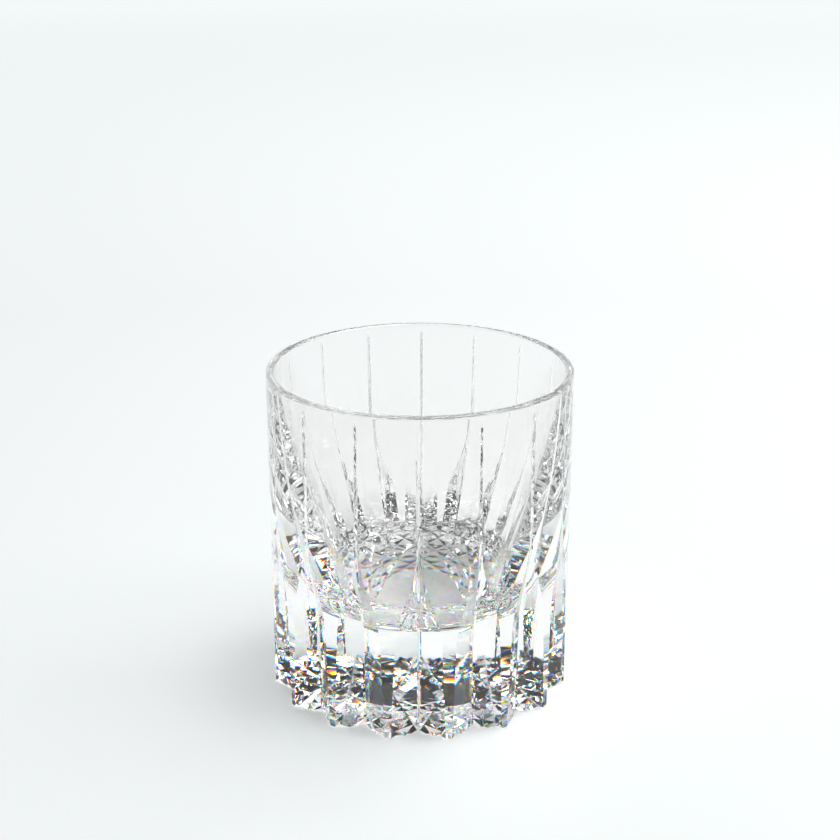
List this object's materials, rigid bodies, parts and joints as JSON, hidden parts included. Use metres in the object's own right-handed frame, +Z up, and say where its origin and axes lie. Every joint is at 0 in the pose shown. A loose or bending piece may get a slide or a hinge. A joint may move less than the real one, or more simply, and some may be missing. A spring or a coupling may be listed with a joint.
{
  "type": "whiskey tumbler",
  "caption": "Heavy straight-sided clear crystal tumbler with a rounded bowl, thick base, flaring vertical mitre cuts and a star-cut underside.",
  "frame": {"origin": "centre of the flat middle of the underside, which the glass stands on", "axes": "+Z up along the glass's axis towards the lip; -Y faces the viewer, with one vertical cut straight in front"},
  "size_m": [0.083, 0.083, 0.091],
  "materials": {
    "cut_crystal": "polished"
  },
  "bodies": {
    "root": {"crystal_tumbler": "cut_crystal"}
  },
  "joints": []
}
